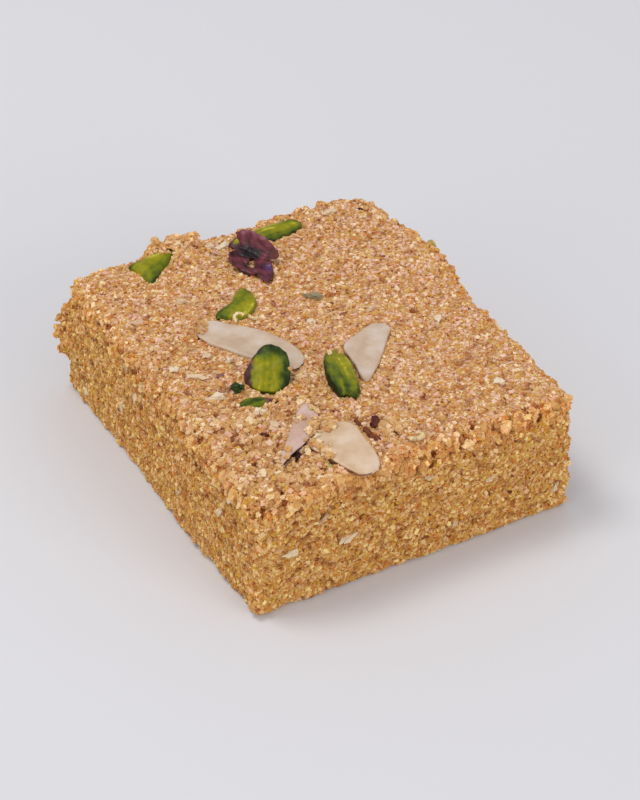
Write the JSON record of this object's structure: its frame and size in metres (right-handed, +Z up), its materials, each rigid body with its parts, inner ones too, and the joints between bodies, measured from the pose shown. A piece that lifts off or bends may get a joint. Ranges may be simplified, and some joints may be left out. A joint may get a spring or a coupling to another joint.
{
  "type": "gajak",
  "caption": "Pressed block of sesame and jaggery crumb with worn edges, topped with chopped pistachio, sliced almond and a dried petal.",
  "frame": {"origin": "middle of the block's flat base, at the centre of its nominal 56.2 x 64.8 mm plan", "axes": "+Z up out of the top with the nuts, +Y along the longer side away from the front, +X along the shorter side to the right"},
  "size_m": [0.0609, 0.0677, 0.0261],
  "materials": {
    "crumb": "dry granular crumb of sesame and jaggery, rough",
    "pistachio": "waxy green nut flesh with purple-brown skin",
    "almond": "smooth ivory nut slice with a thin brown skin rim",
    "petal": "dark purple dried petal, slightly glossy"
  },
  "bodies": {
    "root": {"gajak_block": "crumb", "pistachio_back_left": "pistachio", "pistachio_back_edge": "pistachio", "pistachio_middle": "pistachio", "pistachio_thin_slice": "pistachio", "pistachio_front": "pistachio", "pistachio_chunk": "pistachio", "almond_flake_left": "almond", "almond_flake_right": "almond", "almond_flake_wing": "almond", "almond_flake_front": "almond", "dried_petal": "petal"}
  },
  "joints": []
}
